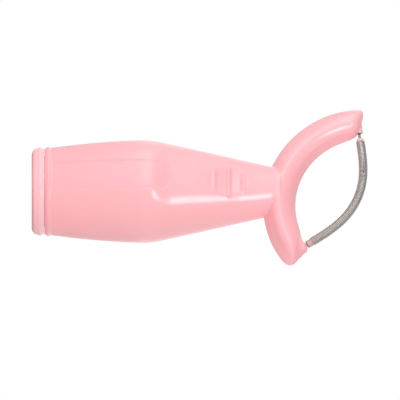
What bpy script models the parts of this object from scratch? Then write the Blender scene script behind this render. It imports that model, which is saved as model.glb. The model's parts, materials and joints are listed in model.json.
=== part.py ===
"""Facial hair remover with a rolling spring, in metres, standing on its rear face.

+Z runs up the handle from the flat rear face to the head. -Y is the front, the side
with the label recess and the thumb rest. The head lies in the XZ plane and leans
towards +X. Its own frame has u along the line between the spring's ends and v at
right angles to it, away from the handle.
"""
import math

import bmesh
import bpy
from mathutils import Vector

MM = 0.001

# Fits that several pieces share
SEAT_GAP = 0.3 * MM
CUT_OVERRUN = 2.0 * MM
ROUND_STEPS = 40

# Rear cap: a cup with a rounded rear edge, one bead and a spigot in the shells' bore
REAR_RADIUS = 16.4 * MM
CAP_LIP_LENGTH = 4.6 * MM
CAP_EDGE_WIDTH = 2.6 * MM
CAP_EDGE_HEIGHT = 1.8 * MM
CAP_FLOOR = 2.0 * MM
CAP_WALL = 1.6 * MM
SPIGOT_LENGTH = 7.5 * MM
BEAD_HEIGHT = 0.5 * MM
BEAD_LENGTH = 2.2 * MM

# Grip and neck, moulded as a front and a back half with the yoke
GRIP_WALL = 2.6 * MM
BELLY_RADIUS = 19.8 * MM
BELLY_HEIGHT = 45.2 * MM
BELLY_BLEND = 0.25 * MM
SWELL_POWER = 1.6
NECK_RADIUS = 9.6 * MM
NECK_HEIGHT = 92.0 * MM
NECK_WALL = 5.0 * MM
NECK_DEPTH_SHARE = 0.84
NECK_SINK = 3.0 * MM
SOLID_NECK_LENGTH = 15.0 * MM

# Flattened thumb side of the neck, between two soft creases that draw together
FLAT_LENGTH = 46.0 * MM
FLAT_BLEND = 14.0 * MM
CREASE_START = 11.0 * MM
CREASE_END = 3.7 * MM
FLATNESS_SHARE = 0.7

# Label recess: square at the rear, round at the front end
RECESS_DEPTH = 0.5 * MM
RECESS_WIDTH = 11.8 * MM
RECESS_OFFSET = 3.3 * MM
RECESS_LENGTH = 45.4 * MM
RECESS_CORNER = 0.8 * MM

# Thumb rest: a round dish in the neck with raised ribs across it
DISH_TO_NECK = 16.6 * MM
DISH_RADIUS = 7.8 * MM
DISH_DEPTH = 1.2 * MM
DISH_REACH_SHARE = 1.4
RIB_PITCH = 5.85 * MM
RIB_WIDTH = 1.3 * MM
RIB_DROP = 0.1 * MM
MIDDLE_RIB_LENGTH = 13.6 * MM
SIDE_RIB_LENGTH = 9.4 * MM

# Head: the yoke is one arc, and the spring bows between its tips
HEAD_SKEW = math.radians(24.4)
HEAD_X = 0.25 * MM
HEAD_LIFT = 0.7 * MM
YOKE_RADIUS = 33.9 * MM
YOKE_RISE = 13.1 * MM
YOKE_SHIFT = 0.25 * MM
YOKE_TURN = math.radians(0.9)
YOKE_END_DROP = 3.35 * MM
YOKE_OUTER_REACH = 6.2 * MM
YOKE_INNER_REACH = 6.7 * MM
YOKE_RIDGE_DEPTH = 9.2 * MM
YOKE_RIDGE_OFFSET = 0.6 * MM
YOKE_RIDGE_ROUND = 2.6 * MM
YOKE_LIP_DEPTH = 4.2 * MM
YOKE_LIP_OFFSET = 4.2 * MM
YOKE_LIP_ROUND = 5.0 * MM
YOKE_EDGE_ROUND = 1.8 * MM
YOKE_TIP_ROUND = 2.2 * MM
TIP_SHARE = 0.92
TIP_LENGTH_ANGLE = math.radians(18)
YOKE_STEPS = 24

# Core of the yoke, left solid at the tips where the bushes and pegs sit
YOKE_WALL = 2.2 * MM
CORE_END_ANGLE = math.radians(39)

# Pegs on the front half that fit sockets in the back half
PEG_RADIUS = 1.2 * MM
PEG_LENGTH = 3.0 * MM
PEG_ANGLE = math.radians(44)
NECK_PEG_TO_NECK = 8.0 * MM

# Spring: close wound wire, bowed like a strut that is pinned at both ends
WIRE_DIAMETER = 0.5 * MM
COIL_DIAMETER = 3.4 * MM
COIL_PITCH = 0.98 * MM
SPRING_TO_TIP = 7.34 * MM
COIL_END_SLOPE = math.radians(32.5)
CURL_POINTS = 8
BEND_STEPS = 400

# End plugs, pivot pins and their bushes, measured outwards from the spring's ends
PIN_RADIUS = 0.45 * MM
PLUG_SPIGOT_RADIUS = 0.8 * MM
PLUG_SPIGOT_LENGTH = 3.0 * MM
PIN_SEAT_DEPTH = 1.0 * MM
UPPER_COLLAR_LENGTH = 1.2 * MM
UPPER_COLLAR_RADIUS = 1.75 * MM
UPPER_COLLAR_TEETH = 10
UPPER_TOOTH_DEPTH = 0.25 * MM
LOWER_COLLAR_LENGTH = 2.1 * MM
LOWER_COLLAR_RADIUS = 1.45 * MM
UPPER_BUSH_FACE = 3.6 * MM
LOWER_BUSH_FACE = 3.0 * MM
BUSH_RADIUS = 1.5 * MM
BUSH_LENGTH = 7.0 * MM
BUSH_BORE_DEPTH = 5.0 * MM
SMALL_STEPS = 20

# Places that follow from the sizes above
GRIP_START = CAP_LIP_LENGTH + SEAT_GAP
BORE_RADIUS = REAR_RADIUS - GRIP_WALL
SPIGOT_RADIUS = BORE_RADIUS - SEAT_GAP
COIL_RADIUS = (COIL_DIAMETER - WIRE_DIAMETER) / 2
HOLLOW_TOP = NECK_HEIGHT - SOLID_NECK_LENGTH
FLAT_START = NECK_HEIGHT - FLAT_LENGTH
FLAT_FULL = FLAT_START + FLAT_BLEND
RECESS_START = GRIP_START + RECESS_OFFSET
RECESS_END = RECESS_START + RECESS_LENGTH
DISH_HEIGHT = NECK_HEIGHT - DISH_TO_NECK
NECK_PEG_HEIGHT = NECK_HEIGHT - NECK_PEG_TO_NECK
HEAD_Z = NECK_HEIGHT + NECK_SINK + YOKE_RADIUS - YOKE_RISE + HEAD_LIFT
YOKE_HALF_SPAN = math.sqrt(YOKE_RADIUS ** 2 - (YOKE_RISE + YOKE_END_DROP) ** 2)
COIL_HALF_SPAN = YOKE_HALF_SPAN - SPRING_TO_TIP

PINK = (1.0, 0.535, 0.59)
PALE_PINK = (0.95, 0.72, 0.73)
CLEAR_PINK = (0.93, 0.66, 0.67)
STEEL = (0.42, 0.42, 0.44)
SPRING_STEEL = (0.33, 0.33, 0.35)


def clear_scene():
    for item in list(bpy.data.objects):
        bpy.data.objects.remove(item, do_unlink=True)


def new_collection(name):
    collection = bpy.data.collections.new(name)
    bpy.context.scene.collection.children.link(collection)
    return collection


def smoothstep(share):
    share = min(max(share, 0.0), 1.0)
    return share * share * (3 - 2 * share)


def plastic(name, colour, roughness):
    material = bpy.data.materials.new(name)
    material.use_nodes = True
    shader = material.node_tree.nodes["Principled BSDF"]
    shader.inputs["Base Color"].default_value = (*colour, 1.0)
    shader.inputs["Roughness"].default_value = roughness
    shader.inputs["Metallic"].default_value = 0.0
    return material


def metal(name, colour, roughness):
    material = plastic(name, colour, roughness)
    material.node_tree.nodes["Principled BSDF"].inputs["Metallic"].default_value = 1.0
    return material


def add_object(name, data, collection, parent=None):
    item = bpy.data.objects.new(name, data)
    item.parent = parent
    collection.objects.link(item)
    return item


def add_mesh(name, bm, collection, parent=None):
    bmesh.ops.recalc_face_normals(bm, faces=bm.faces)
    mesh = bpy.data.meshes.new(name)
    bm.to_mesh(mesh)
    bm.free()
    return add_object(name, mesh, collection, parent)


def finish(item, material):
    """Give a piece its material and smooth shading with sharp edges kept."""
    item.data.materials.append(material)
    if item.type == "MESH":
        item.data.shade_smooth()
        item.data.set_sharp_from_angle(angle=math.radians(35))
    return item


def as_cutter(item):
    item.hide_render = True
    item.display_type = "WIRE"
    return item


def combine(item, tool, operation):
    modifier = item.modifiers.new(tool.name, "BOOLEAN")
    modifier.operation = operation
    modifier.solver = "EXACT"
    modifier.object = tool
    return modifier


def cut(item, *tools):
    for tool in tools:
        combine(item, tool, "DIFFERENCE")


def turned(name, profile, collection, parent=None, steps=SMALL_STEPS):
    """Turn a profile of (radius, height) points, given down its outer side, about local Z."""
    mesh = bpy.data.meshes.new(name)
    points = [(radius, 0.0, height) for radius, height in profile]
    edges = [(index, index + 1) for index in range(len(points) - 1)]
    mesh.from_pydata(points, edges, [])
    item = add_object(name, mesh, collection, parent)
    screw = item.modifiers.new("turn", "SCREW")
    screw.axis = "Z"
    screw.steps = steps
    screw.render_steps = steps
    screw.use_merge_vertices = True
    screw.merge_threshold = 0.00001
    screw.use_smooth_shade = True
    return item


def loft(name, rings, collection, parent=None):
    """Join closed rings of equally many points into one skin with flat ends."""
    bm = bmesh.new()
    rows = [[bm.verts.new(point) for point in ring] for ring in rings]
    count = len(rows[0])
    for lower, upper in zip(rows, rows[1:]):
        for index in range(count):
            after = (index + 1) % count
            bm.faces.new((lower[index], lower[after], upper[after], upper[index]))
    bm.faces.new(rows[0])
    bm.faces.new(rows[-1])
    return add_mesh(name, bm, collection, parent)


def prism(name, outline, back, front, collection):
    """Extrude an outline of (x, z) points along Y, from back to front."""
    bm = bmesh.new()
    face = bm.faces.new([bm.verts.new((x, back, z)) for x, z in outline])
    moved = bmesh.ops.extrude_face_region(bm, geom=[face])["geom"]
    verts = [part for part in moved if isinstance(part, bmesh.types.BMVert)]
    bmesh.ops.translate(bm, verts=verts, vec=Vector((0, front - back, 0)))
    return add_mesh(name, bm, collection)


def rounded_outline(corners, radii, steps):
    """Replace each corner of a convex outline with an arc that touches both its sides."""
    points = []
    for index, (corner, radius) in enumerate(zip(corners, radii)):
        here = Vector(corner)
        to_last = (Vector(corners[index - 1]) - here)
        to_next = (Vector(corners[(index + 1) % len(corners)]) - here)
        room = min(to_last.length, to_next.length) / 2
        half_angle = to_last.angle(to_next) / 2
        reach = min(radius / math.tan(half_angle), room)
        start = here + to_last.normalized() * reach
        end = here + to_next.normalized() * reach
        bisector = (to_last.normalized() + to_next.normalized()).normalized()
        centre = here + bisector * (reach / math.cos(half_angle))
        for step in range(steps + 1):
            mixed = start.lerp(end, step / steps) - centre
            points.append(centre + mixed.normalized() * (start - centre).length)
    return points


def bead_rise(height, start):
    """Height of a half-round bead that starts at the given place."""
    share = (height - start) / BEAD_LENGTH
    if not 0.0 < share < 1.0:
        return 0.0
    return BEAD_HEIGHT * math.sin(math.pi * share)


def rear_cap_profile():
    """The cup: inner floor and wall, spigot, groove, bead, rounded edge and rear face."""
    spigot_top = GRIP_START + SPIGOT_LENGTH
    inner = SPIGOT_RADIUS - CAP_WALL
    profile = [(0.0, CAP_FLOOR), (inner, CAP_FLOOR), (inner, spigot_top)]
    profile += [(SPIGOT_RADIUS, spigot_top), (SPIGOT_RADIUS, CAP_LIP_LENGTH)]
    bead_start = CAP_LIP_LENGTH - BEAD_LENGTH - SEAT_GAP
    bead_steps = 6
    profile.append((REAR_RADIUS, CAP_LIP_LENGTH))
    for step in range(bead_steps + 1):
        height = bead_start + BEAD_LENGTH * (1 - step / bead_steps)
        profile.append((REAR_RADIUS + bead_rise(height, bead_start), height))
    edge_steps = 5
    for step in range(1, edge_steps + 1):
        angle = math.pi / 2 * step / edge_steps
        radius = REAR_RADIUS - CAP_EDGE_WIDTH * (1 - math.cos(angle))
        profile.append((radius, CAP_EDGE_HEIGHT * (1 - math.sin(angle))))
    profile.append((0.0, 0.0))
    return profile


def body_radius(height):
    """Outer radius without beads: a slow swell to the belly, then a straight taper."""
    share = min(max((height - GRIP_START) / (BELLY_HEIGHT - GRIP_START), 0.0), 1.0)
    swell = REAR_RADIUS + (BELLY_RADIUS - REAR_RADIUS) * (1 - (1 - share) ** SWELL_POWER)
    slope = (BELLY_RADIUS - NECK_RADIUS) / (NECK_HEIGHT - BELLY_HEIGHT)
    taper = BELLY_RADIUS - slope * (height - BELLY_HEIGHT)
    gap = max(BELLY_BLEND * 4 - abs(swell - taper), 0.0) / (BELLY_BLEND * 4)
    return min(swell, taper) - gap * gap * BELLY_BLEND


def grip_radius(height):
    return body_radius(height) + bead_rise(height, GRIP_START + SEAT_GAP)


def grip_ring(height, inset=0.0):
    """One section of the handle, flattened between its two creases."""
    radius = grip_radius(height) - inset
    share = min(max((height - FLAT_START) / (NECK_HEIGHT - FLAT_START), 0.0), 1.0)
    half_width = CREASE_START + (CREASE_END - CREASE_START) * share
    crease = math.asin(half_width / grip_radius(height))
    depth = 1 - (1 - NECK_DEPTH_SHARE) * smoothstep((height - FLAT_FULL) / (NECK_HEIGHT - FLAT_FULL))
    flatness = FLATNESS_SHARE * smoothstep((height - FLAT_START) / (FLAT_FULL - FLAT_START))
    front_steps = 8
    side_steps = ROUND_STEPS - front_steps
    angles = [crease * (2 * step / front_steps - 1) for step in range(front_steps)]
    sweep = 2 * math.pi - 2 * crease
    angles += [crease + sweep * step / side_steps for step in range(side_steps)]
    ring = []
    for angle in angles:
        reach = math.cos(angle)
        if reach > math.cos(crease):
            reach = math.cos(crease) + (reach - math.cos(crease)) * (1 - flatness)
        ring.append((radius * math.sin(angle), -radius * reach * depth, height))
    return ring


def spread(start, end, steps):
    return [start + (end - start) * step / steps for step in range(steps)]


def grip_stations():
    """Heights of the handle's sections, closer together at the bead and the belly."""
    bead_end = GRIP_START + SEAT_GAP + BEAD_LENGTH
    belly_span = BELLY_BLEND * 8
    top = NECK_HEIGHT + NECK_SINK
    stations = spread(GRIP_START, bead_end, 8)
    stations += spread(bead_end, BELLY_HEIGHT - belly_span, 6)
    stations += spread(BELLY_HEIGHT - belly_span, BELLY_HEIGHT + belly_span, 6)
    stations += spread(BELLY_HEIGHT + belly_span, top, 9)
    return stations + [top]


def hollow_profile():
    """The halves' bore, from its top down to the rear, where the cap's spigot fits."""
    spigot_top = GRIP_START + SPIGOT_LENGTH + SEAT_GAP
    steps = 10
    profile = [(0.0, HOLLOW_TOP)]
    for step in range(steps + 1):
        height = HOLLOW_TOP + (spigot_top - HOLLOW_TOP) * step / steps
        above = smoothstep((height - BELLY_HEIGHT) / (HOLLOW_TOP - BELLY_HEIGHT))
        wall = GRIP_WALL + (NECK_WALL - GRIP_WALL) * above
        profile.append((body_radius(height) - wall, height))
    profile.append((BORE_RADIUS, spigot_top))
    profile.append((BORE_RADIUS, GRIP_START - CUT_OVERRUN))
    profile.append((0.0, GRIP_START - CUT_OVERRUN))
    return profile


def inset_outline(corners, inset):
    """Move each side of an outline, given anticlockwise, inwards by the same distance."""
    moved = []
    for index, corner in enumerate(corners):
        here = Vector(corner)
        before = (here - Vector(corners[index - 1])).normalized()
        after = (Vector(corners[(index + 1) % len(corners)]) - here).normalized()
        inwards = Vector((-before.y - after.y, before.x + after.x))
        moved.append(here + inwards * inset / (1 + before.dot(after)))
    return moved


def yoke_section(share=1.0, inset=0.0):
    """Six-sided section with round edges: points out from the arc and towards the front."""
    half = [
        (YOKE_OUTER_REACH, 0.0),
        (YOKE_RIDGE_OFFSET, YOKE_RIDGE_DEPTH),
        (-YOKE_LIP_OFFSET, YOKE_LIP_DEPTH),
        (-YOKE_INNER_REACH, 0.0),
    ]
    whole = half + [(out, -forward) for out, forward in half[2:0:-1]]
    corners = inset_outline([(out * share, forward * share) for out, forward in whole], inset)
    rounds = [YOKE_EDGE_ROUND, YOKE_RIDGE_ROUND, YOKE_LIP_ROUND]
    return rounded_outline(corners, rounds + rounds[:1] + rounds[:0:-1], 3)


def yoke_end_angle():
    """Angle at which the middle of the arc reaches the end faces."""
    return math.acos((YOKE_RISE + YOKE_END_DROP) / YOKE_RADIUS)


def yoke_ring(angle, lean=0.0, share=1.0, inset=0.0, lift=0.0):
    """Section at an angle of the arc; lean turns it level with the tip's end face."""
    turned_angle = angle + YOKE_TURN
    radial = Vector((math.sin(turned_angle), -math.cos(turned_angle)))
    level = Vector((math.cos(YOKE_TURN), math.sin(YOKE_TURN))) * math.copysign(1.0, angle)
    onward = Vector((-math.sin(YOKE_TURN), math.cos(YOKE_TURN))) * lift
    across = radial.lerp(level, lean).normalized()
    stretch = 1 / across.dot(radial)
    ring = []
    for outward, forward in yoke_section(share, inset):
        place = radial * YOKE_RADIUS + across * outward * stretch + onward
        ring.append((YOKE_SHIFT + place.x, -forward, YOKE_RISE + place.y))
    return ring


def yoke_rings():
    """Sections along the arc, level and rounded off at both tips."""
    end = yoke_end_angle()
    straight = end - YOKE_TIP_ROUND / YOKE_RADIUS
    rings = []
    for step in range(YOKE_STEPS + 1):
        angle = straight * (2 * step / YOKE_STEPS - 1)
        near = smoothstep((abs(angle) - straight + TIP_LENGTH_ANGLE) / TIP_LENGTH_ANGLE)
        rings.append(yoke_ring(angle, near, 1 - (1 - TIP_SHARE) * near))
    tip_steps = 3
    for step in range(1, tip_steps + 1):
        turn = math.pi / 2 * step / tip_steps
        inset = YOKE_TIP_ROUND * (1 - math.cos(turn))
        lift = YOKE_TIP_ROUND * math.sin(turn)
        rings.insert(0, yoke_ring(-straight, 1.0, TIP_SHARE, inset, lift))
        rings.append(yoke_ring(straight, 1.0, TIP_SHARE, inset, lift))
    return rings


def core_rings():
    """Hollow of the yoke, one wall inside its sections."""
    steps = 14
    angles = [CORE_END_ANGLE * (2 * step / steps - 1) for step in range(steps + 1)]
    return [yoke_ring(angle, 0.0, 1.0, YOKE_WALL) for angle in angles]


def bend_points(length):
    """Middle line of the bowed spring as (u, v, slope), from the upper end to the lower."""
    step_length = length / BEND_STEPS
    points = [(0.0, 0.0, COIL_END_SLOPE)]
    for step in range(BEND_STEPS):
        slope = COIL_END_SLOPE * math.cos(math.pi * (step + 0.5) / BEND_STEPS)
        last = points[-1]
        points.append((
            last[0] + step_length * math.cos(slope),
            last[1] + step_length * math.sin(slope),
            COIL_END_SLOPE * math.cos(math.pi * (step + 1) / BEND_STEPS),
        ))
    return points


def coil_length():
    """Length of the middle line whose ends lie one span apart."""
    return COIL_HALF_SPAN * 2 / bend_points(1.0)[-1][0]


def coil_point(line, length, distance, angle, radius):
    """A point at an angle round the middle line, a distance along it from the upper end."""
    place = min(max(distance / length, 0.0), 1.0) * BEND_STEPS
    index = min(int(place), BEND_STEPS - 1)
    share = place - index
    here = [a + (b - a) * share for a, b in zip(line[index], line[index + 1])]
    along = here[0] - COIL_HALF_SPAN
    across = here[1]
    swing = radius * math.cos(angle)
    return Vector((
        along - swing * math.sin(here[2]),
        radius * math.sin(angle),
        across + swing * math.cos(here[2]),
    ))


def coil_path():
    """The wire: even curls round the middle line, with straight ends along it."""
    length = coil_length()
    line = bend_points(length)
    lead = WIRE_DIAMETER * 1.5
    wound = length - 2 * lead
    curls = int(wound / COIL_PITCH)
    count = curls * CURL_POINTS
    path = []
    for index in range(count + 1):
        angle = 2 * math.pi * index / CURL_POINTS
        path.append(coil_point(line, length, lead + wound * index / count, angle, COIL_RADIUS))
    corner = WIRE_DIAMETER / 2
    for place, outward in ((0, 1), (len(path), -1)):
        last = path[0] if place == 0 else path[-1]
        before = path[1] if place == 0 else path[-2]
        slope = COIL_END_SLOPE * outward
        axis = Vector((math.cos(slope), 0, math.sin(slope))) * -outward
        onward = (last - before).normalized()
        knee = last + onward * corner + axis * corner
        tail = knee + axis * WIRE_DIAMETER
        if place == 0:
            path = [tail, knee] + path
        else:
            path = path + [knee, tail]
    return path


def least_gap(path):
    """Least clear distance between stretches of wire half a curl or more apart."""
    apart = CURL_POINTS // 2 + 1
    reach = CURL_POINTS * 2
    closest = min(
        (path[first] - path[second]).length
        for first in range(len(path))
        for second in range(first + apart, min(first + reach, len(path)))
    )
    return closest - WIRE_DIAMETER


def make_spring(collection, head):
    path = coil_path()
    print("spring: least gap to itself %.3f mm" % (least_gap(path) / MM))
    curve = bpy.data.curves.new("coil_spring", "CURVE")
    curve.dimensions = "3D"
    curve.bevel_depth = WIRE_DIAMETER / 2
    curve.bevel_resolution = 1
    curve.render_resolution_u = 0
    curve.use_fill_caps = True
    spline = curve.splines.new("POLY")
    spline.points.add(len(path) - 1)
    for point, place in zip(spline.points, path):
        point.co = (*place, 1.0)
    spring = add_object("coil_spring", curve, collection, head)
    spring.data.materials.append(metal("spring_steel", SPRING_STEEL, 0.3))
    return spring


def plug_profile(collar_length, collar_radius):
    """Collar with a blind seat for the pin, and a spigot inside the spring."""
    face = SEAT_GAP
    end = face + collar_length
    seat_radius = PIN_RADIUS + SEAT_GAP
    return [
        (0.0, end - PIN_SEAT_DEPTH),
        (seat_radius, end - PIN_SEAT_DEPTH),
        (seat_radius, end),
        (collar_radius, end),
        (collar_radius, face),
        (PLUG_SPIGOT_RADIUS, face),
        (PLUG_SPIGOT_RADIUS, -PLUG_SPIGOT_LENGTH),
        (0.0, -PLUG_SPIGOT_LENGTH),
    ]


def pin_profile(collar_length, bush_face):
    bottom = SEAT_GAP + collar_length - PIN_SEAT_DEPTH + SEAT_GAP
    top = bush_face + BUSH_BORE_DEPTH - SEAT_GAP
    return [(0.0, top), (PIN_RADIUS, top), (PIN_RADIUS, bottom), (0.0, bottom)]


def bush_profile(face):
    """Bush with a blind bore that opens towards the spring."""
    bore = PIN_RADIUS + SEAT_GAP
    top = face + BUSH_LENGTH
    return [
        (0.0, top),
        (BUSH_RADIUS, top),
        (BUSH_RADIUS, face),
        (bore, face),
        (bore, face + BUSH_BORE_DEPTH),
        (0.0, face + BUSH_BORE_DEPTH),
    ]


def bush_seat_profile(face):
    """Blind hole in the yoke's tip that runs out through the end face."""
    top = face + BUSH_LENGTH + SEAT_GAP
    radius = BUSH_RADIUS + SEAT_GAP
    return [(0.0, top), (radius, top), (radius, -CUT_OVERRUN), (0.0, -CUT_OVERRUN)]


def pivot_frame(name, side, collection, head):
    """Empty at one end of the spring, its +Z along the pin and into the yoke."""
    pivot = add_object(name, None, collection, head)
    pivot.location = (side * COIL_HALF_SPAN, 0, 0)
    turn = math.atan2(side * math.cos(COIL_END_SLOPE), -math.sin(COIL_END_SLOPE))
    pivot.rotation_euler = (0, turn, 0)
    return pivot


def collar_teeth(pivot, cutters):
    """Cutter for the notches round the upper plug's collar."""
    bm = bmesh.new()
    for index in range(UPPER_COLLAR_TEETH):
        angle = 2 * math.pi * index / UPPER_COLLAR_TEETH
        made = bmesh.ops.create_cone(
            bm, cap_ends=True, segments=6, radius1=UPPER_TOOTH_DEPTH, radius2=UPPER_TOOTH_DEPTH,
            depth=UPPER_COLLAR_LENGTH + CUT_OVERRUN)
        offset = Vector((math.cos(angle), math.sin(angle), 0)) * UPPER_COLLAR_RADIUS
        offset.z = SEAT_GAP + UPPER_COLLAR_LENGTH / 2
        bmesh.ops.translate(bm, verts=made["verts"], vec=offset)
    return as_cutter(add_mesh("collar_notches", bm, cutters, pivot))


def make_end(name, pivot, collar_length, collar_radius, bush_face, parts):
    plug = turned(name + "_end_plug", plug_profile(collar_length, collar_radius), parts, pivot)
    pin = turned(name + "_pivot_pin", pin_profile(collar_length, bush_face), parts, pivot)
    bush = turned(name + "_bush", bush_profile(bush_face), parts, pivot)
    finish(plug, plastic(name + "_plug_nylon", PALE_PINK, 0.45))
    finish(pin, metal(name + "_pin_steel", STEEL, 0.25))
    finish(bush, plastic(name + "_bush_acetal", CLEAR_PINK, 0.35))
    return plug


def half_space(name, side, cutters):
    """Block on one side of the parting plane, with half the parting gap kept clear."""
    reach = YOKE_RADIUS * 2
    top = HEAD_Z + reach
    outline = [(-reach, -CUT_OVERRUN), (reach, -CUT_OVERRUN), (reach, top), (-reach, top)]
    return as_cutter(prism(name, outline, -side * SEAT_GAP / 2, side * reach, cutters))


def label_cutter(cutters):
    """Skin of even depth over the label's outline, from a prism less the smaller grip."""
    half = RECESS_WIDTH / 2
    outline = rounded_outline(
        [(-half, RECESS_START), (half, RECESS_START), (half, RECESS_END), (-half, RECESS_END)],
        [RECESS_CORNER, RECESS_CORNER, half, half], 8)
    corners = []
    for point in outline:
        if not corners or (point - corners[-1]).length > SEAT_GAP / 10:
            corners.append(point)
    cutter = prism("label_outline", corners, -BELLY_RADIUS / 2, -BELLY_RADIUS - CUT_OVERRUN, cutters)
    floor = loft("label_floor", [grip_ring(height, RECESS_DEPTH) for height in grip_stations()], cutters)
    cut(cutter, as_cutter(floor))
    return as_cutter(cutter)


def neck_front(height):
    """Distance from the axis to the middle of the flattened front."""
    ring = grip_ring(height)
    return -min(point[1] for point in ring)


def dish_frame(cutters):
    """Empty on the flattened front at the dish's centre, its +Z square to the surface."""
    slope = math.atan2(BELLY_RADIUS - NECK_RADIUS, NECK_HEIGHT - BELLY_HEIGHT)
    dish = add_object("dish_frame", None, cutters)
    dish.location = (0, -neck_front(DISH_HEIGHT), DISH_HEIGHT)
    dish.rotation_euler = (math.pi / 2 - slope, 0, 0)
    return dish


def make_dish(cutters, frame):
    """Lens-shaped cutter: a shallow ball cap with a tall top."""
    ball = (DISH_RADIUS ** 2 + DISH_DEPTH ** 2) / (2 * DISH_DEPTH)
    steps = 10
    reach = DISH_RADIUS * DISH_REACH_SHARE
    profile = [(0.0, BELLY_RADIUS), (reach, BELLY_RADIUS)]
    for step in range(steps + 1):
        radius = reach * (1 - step / steps)
        profile.append((radius, ball - DISH_DEPTH - math.sqrt(ball ** 2 - radius ** 2)))
    dish = turned("thumb_dish", profile, cutters, frame, ROUND_STEPS)
    dish.rotation_euler = (0, 0, math.pi / ROUND_STEPS)
    return as_cutter(dish)


def make_ribs(cutters, frame):
    """Bars across the dish, round on top and at their ends, sunk into its floor."""
    ribs = []
    lengths = (SIDE_RIB_LENGTH, MIDDLE_RIB_LENGTH, SIDE_RIB_LENGTH)
    half_width = RIB_WIDTH / 2
    half_height = DISH_DEPTH
    end_steps = 4
    sides = 12
    for index, length in enumerate(lengths):
        rings = []
        stations = []
        for step in range(end_steps):
            turn = math.pi / 2 * (step + 0.5) / end_steps
            stations.append((-length / 2 + half_width * (1 - math.sin(turn)), math.cos(math.pi / 2 - turn)))
        stations += [(-place, size) for place, size in reversed(stations)]
        for place, size in stations:
            ring = []
            for side in range(sides):
                angle = 2 * math.pi * side / sides
                up = half_height * size * math.sin(angle) - half_height - RIB_DROP
                ring.append((place, half_width * size * math.cos(angle), up))
            rings.append(ring)
        rib = loft("thumb_rib_%d" % (index + 1), rings, cutters, frame)
        rib.location = (0, (index - 1) * RIB_PITCH, 0)
        ribs.append(as_cutter(rib))
    return ribs


def yoke_place(angle):
    """Point on the middle of the yoke's arc, in the head's frame."""
    turned_angle = angle + YOKE_TURN
    along = YOKE_SHIFT + YOKE_RADIUS * math.sin(turned_angle)
    return along, YOKE_RISE - YOKE_RADIUS * math.cos(turned_angle)


def peg_places():
    """Where the pegs stand, as (x, z) in the shared frame."""
    places = [(0.0, NECK_PEG_HEIGHT)]
    for side in (-1, 1):
        along, across = yoke_place(side * PEG_ANGLE)
        x = HEAD_X + along * math.cos(HEAD_SKEW) + across * math.sin(HEAD_SKEW)
        z = HEAD_Z - along * math.sin(HEAD_SKEW) + across * math.cos(HEAD_SKEW)
        places.append((x, z))
    return places


def peg(name, place, radius, length, cutters):
    """Round bar along Y that starts inside the front half and points to the back."""
    profile = [(0.0, length), (radius, length), (radius, -PEG_LENGTH), (0.0, -PEG_LENGTH)]
    item = turned(name, profile, cutters)
    item.location = (place[0], 0, place[1])
    half_facet = math.pi / SMALL_STEPS
    item.rotation_euler = (-math.pi / 2, half_facet, 0)
    return as_cutter(item)


def make_handle(parts, cutters, head, pivots):
    """Two halves from one blank of grip, neck and yoke, hollow and pegged together."""
    blank_rings = [grip_ring(height) for height in grip_stations()]
    front = loft("front_shell", blank_rings, parts)
    back = loft("back_shell", blank_rings, parts)
    yoke = as_cutter(loft("yoke_blank", yoke_rings(), cutters, head))
    core = as_cutter(loft("yoke_core", core_rings(), cutters, head))
    bore = as_cutter(turned("hollow", hollow_profile(), cutters, steps=ROUND_STEPS))
    seats = []
    for pivot, face in zip(pivots, (UPPER_BUSH_FACE, LOWER_BUSH_FACE)):
        seats.append(as_cutter(turned(pivot.name + "_seat", bush_seat_profile(face), cutters, pivot)))
    for shell, name, side in ((front, "back_half", 1), (back, "front_half", -1)):
        block = half_space(name, side, cutters)
        combine(shell, yoke, "UNION")
        cut(shell, block, bore, core, *seats)
    frame = dish_frame(cutters)
    cut(front, label_cutter(cutters), make_dish(cutters, frame))
    for rib in make_ribs(cutters, frame):
        combine(front, rib, "UNION")
    for index, place in enumerate(peg_places()):
        name = "peg_%d" % (index + 1)
        combine(front, peg(name, place, PEG_RADIUS, PEG_LENGTH, cutters), "UNION")
        socket = peg(name + "_socket", place, PEG_RADIUS + SEAT_GAP, PEG_LENGTH + SEAT_GAP, cutters)
        cut(back, socket)
    finish(front, plastic("front_pink_abs", PINK, 0.28))
    finish(back, plastic("back_pink_abs", PINK, 0.28))
    cap = turned("rear_cap", rear_cap_profile(), parts, steps=ROUND_STEPS)
    finish(cap, plastic("cap_pink_abs", PINK, 0.28))


def main():
    clear_scene()
    parts = new_collection("facial_hair_remover")
    cutters = new_collection("cutters")
    head = add_object("head_frame", None, parts)
    head.location = (HEAD_X, 0, HEAD_Z)
    head.rotation_euler = (0, HEAD_SKEW, 0)
    upper = pivot_frame("upper_pivot", -1, parts, head)
    lower = pivot_frame("lower_pivot", 1, parts, head)
    make_handle(parts, cutters, head, (upper, lower))
    plug = make_end("upper", upper, UPPER_COLLAR_LENGTH, UPPER_COLLAR_RADIUS, UPPER_BUSH_FACE, parts)
    cut(plug, collar_teeth(upper, cutters))
    make_end("lower", lower, LOWER_COLLAR_LENGTH, LOWER_COLLAR_RADIUS, LOWER_BUSH_FACE, parts)
    make_spring(parts, head)


main()
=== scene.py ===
"""Looks of the rolling spring hair remover: moulded pink body, bushes, plugs, pins and coil."""
import json
import math

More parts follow.
